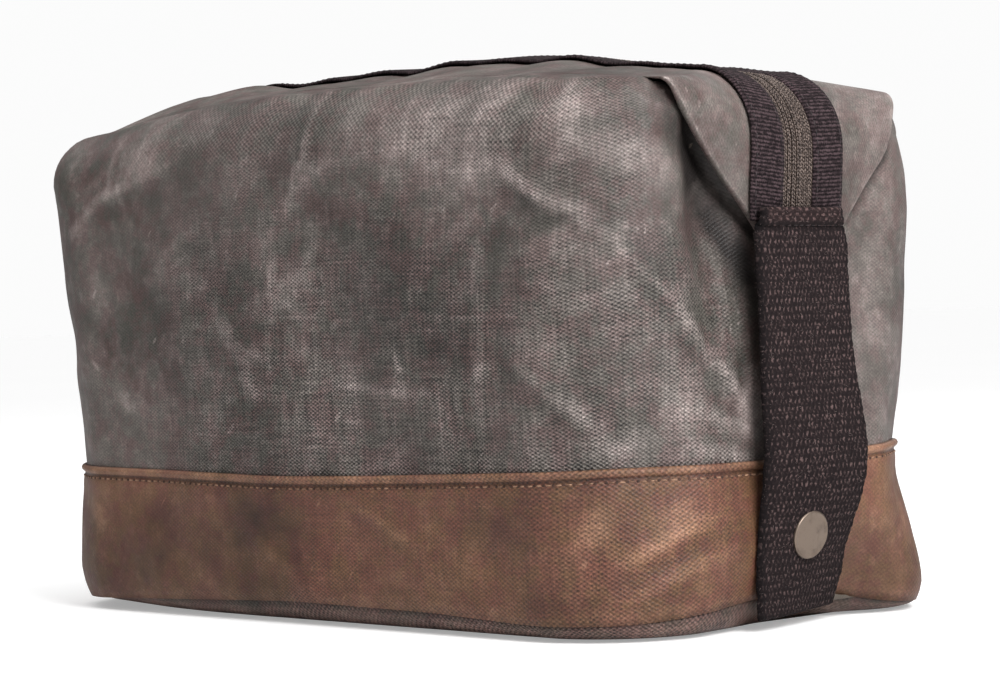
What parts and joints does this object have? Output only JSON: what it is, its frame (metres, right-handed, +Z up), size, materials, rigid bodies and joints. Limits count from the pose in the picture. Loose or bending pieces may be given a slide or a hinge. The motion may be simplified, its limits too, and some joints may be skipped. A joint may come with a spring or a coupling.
{
  "type": "wash bag",
  "caption": "Soft zip-top wash bag in waxed canvas with a contrasting base band, folded-down end flaps and webbing straps that snap to the ends.",
  "frame": {"origin": "middle of the base, on the surface the bag stands on", "axes": "+Z up, +X along the length to the right end, +Y from the front long side to the back; the zip slider rests at the left end"},
  "size_m": [0.2748, 0.1474, 0.1644],
  "materials": {
    "bag_canvas": "grey-brown waxed plain-weave canvas, mottled, with lighter creases",
    "band_canvas": "brown waxed canvas with a folded, topstitched upper edge",
    "lining": "plain-weave lining, matte",
    "webbing": "dark brown ribbed webbing, matte",
    "grosgrain": "dark brown grosgrain ribbon, crosswise ribs",
    "zip_tape": "dark olive-brown woven zip tape",
    "zip_coil": "dark olive-brown coil",
    "snap_metal": "antique nickel, satin",
    "slider_metal": "antique nickel, satin"
  },
  "bodies": {
    "shell": {"front_canvas": "bag_canvas", "back_canvas": "bag_canvas", "front_band": "band_canvas", "back_band": "band_canvas", "front_lining": "lining", "back_lining": "lining", "base_panel": "bag_canvas", "right_end_tapes": "zip_tape", "right_end_ribbons": "grosgrain", "right_end_coils": "zip_coil", "left_end_tapes": "zip_tape", "left_end_ribbons": "grosgrain", "left_end_coils": "zip_coil", "right_snap_stud": "snap_metal", "right_snap_eyelet": "snap_metal", "left_snap_stud": "snap_metal", "left_snap_eyelet": "snap_metal"},
    "front_lid": {"front_top_canvas": "bag_canvas", "front_top_lining": "lining", "front_ribbon": "grosgrain", "front_zip_tape": "zip_tape", "front_zip_coil": "zip_coil"},
    "back_lid": {"back_top_canvas": "bag_canvas", "back_top_lining": "lining", "back_ribbon": "grosgrain", "back_zip_tape": "zip_tape", "back_zip_coil": "zip_coil"},
    "right_ear": {"right_flap_front": "bag_canvas", "right_flap_back": "bag_canvas", "right_flap_gusset": "bag_canvas", "right_flap_tapes": "zip_tape", "right_flap_ribbons": "grosgrain", "right_flap_coils": "zip_coil", "right_strap_tab": "webbing"},
    "right_tail": {"right_strap": "webbing", "right_snap_cap": "snap_metal", "right_snap_socket": "snap_metal"},
    "left_ear": {"left_flap_front": "bag_canvas", "left_flap_back": "bag_canvas", "left_flap_gusset": "bag_canvas", "left_flap_tapes": "zip_tape", "left_flap_ribbons": "grosgrain", "left_flap_coils": "zip_coil", "left_strap_tab": "webbing"},
    "left_tail": {"left_strap": "webbing", "left_snap_cap": "snap_metal", "left_snap_socket": "snap_metal"},
    "slider": {"slider_body": "slider_metal", "slider_bridge": "slider_metal"},
    "pull": {"pull_tab": "slider_metal"}
  },
  "joints": [
    {"name": "front_top_hinge", "type": "hinge", "parent": "shell", "child": "front_lid", "pos_m": [0, -0.0505, 0.158], "axis": [1, 0, 0], "range_deg": [0, 65]},
    {"name": "back_top_hinge", "type": "hinge", "parent": "shell", "child": "back_lid", "pos_m": [0, 0.0505, 0.158], "axis": [-1, 0, 0], "range_deg": [0, 65]},
    {"name": "right_flap_fold", "type": "hinge", "parent": "shell", "child": "right_ear", "pos_m": [0.12696, 0, 0.15396], "axis": [0, -1, 0], "range_deg": [0, 90]},
    {"name": "right_strap_fold", "type": "hinge", "parent": "right_ear", "child": "right_tail", "pos_m": [0.1362, 0, 0.09585], "axis": [0, -1, 0], "range_deg": [0, 150]},
    {"name": "left_flap_fold", "type": "hinge", "parent": "shell", "child": "left_ear", "pos_m": [-0.12696, 0, 0.15396], "axis": [0, 1, 0], "range_deg": [0, 90]},
    {"name": "left_strap_fold", "type": "hinge", "parent": "left_ear", "child": "left_tail", "pos_m": [-0.1362, 0, 0.09585], "axis": [0, 1, 0], "range_deg": [0, 150]},
    {"name": "zip_slide", "type": "slide", "parent": "shell", "child": "slider", "axis": [1, 0, 0], "range_m": [0, 0.201]},
    {"name": "pull_turn", "type": "hinge", "parent": "slider", "child": "pull", "pos_m": [-0.1005, 0, 0.16235], "axis": [0, -1, 0], "range_deg": [0, 180]}
  ]
}
